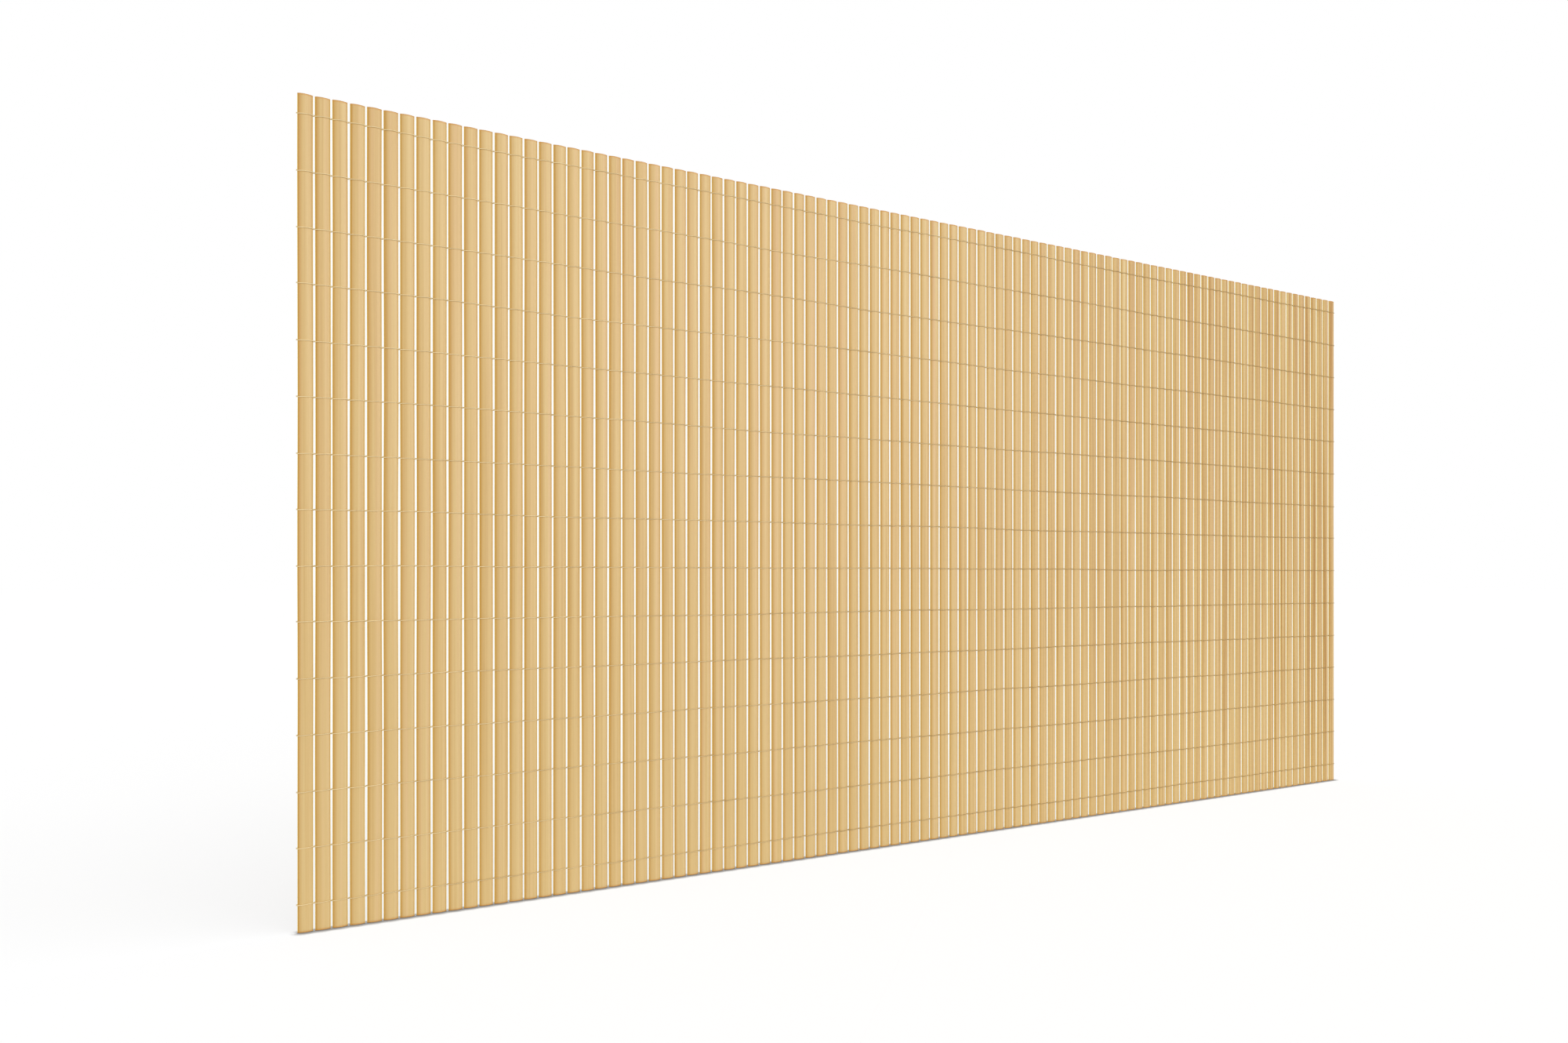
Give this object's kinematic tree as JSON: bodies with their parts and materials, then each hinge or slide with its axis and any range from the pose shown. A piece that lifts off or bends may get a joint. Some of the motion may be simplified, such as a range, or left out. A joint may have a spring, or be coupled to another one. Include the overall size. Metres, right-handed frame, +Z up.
{
  "type": "pvc privacy screen",
  "caption": "Upright mat of tan half-round PVC slats, stitched side by side with rows of yarn, tied to a fence or railing as a privacy screen.",
  "frame": {"origin": "bottom edge of the panel, midway along its length and midway through the depth of the slats", "axes": "+X along the panel, to the right seen from the front; +Y through the panel, from the rounded front to the hollow back; +Z up along the slats"},
  "size_m": [2.9988, 0.0068, 1.5],
  "materials": {
    "slat_pvc": "extruded tan PVC, satin, with fine lengthwise streaks",
    "stitch_yarn": "twisted beige polyester yarn"
  },
  "bodies": {
    "root": {"slats": "slat_pvc", "stitch_yarn_01": "stitch_yarn", "stitch_yarn_02": "stitch_yarn", "stitch_yarn_03": "stitch_yarn", "stitch_yarn_04": "stitch_yarn", "stitch_yarn_05": "stitch_yarn", "stitch_yarn_06": "stitch_yarn", "stitch_yarn_07": "stitch_yarn", "stitch_yarn_08": "stitch_yarn", "stitch_yarn_09": "stitch_yarn", "stitch_yarn_10": "stitch_yarn", "stitch_yarn_11": "stitch_yarn", "stitch_yarn_12": "stitch_yarn", "stitch_yarn_13": "stitch_yarn", "stitch_yarn_14": "stitch_yarn", "stitch_yarn_15": "stitch_yarn"}
  },
  "joints": []
}
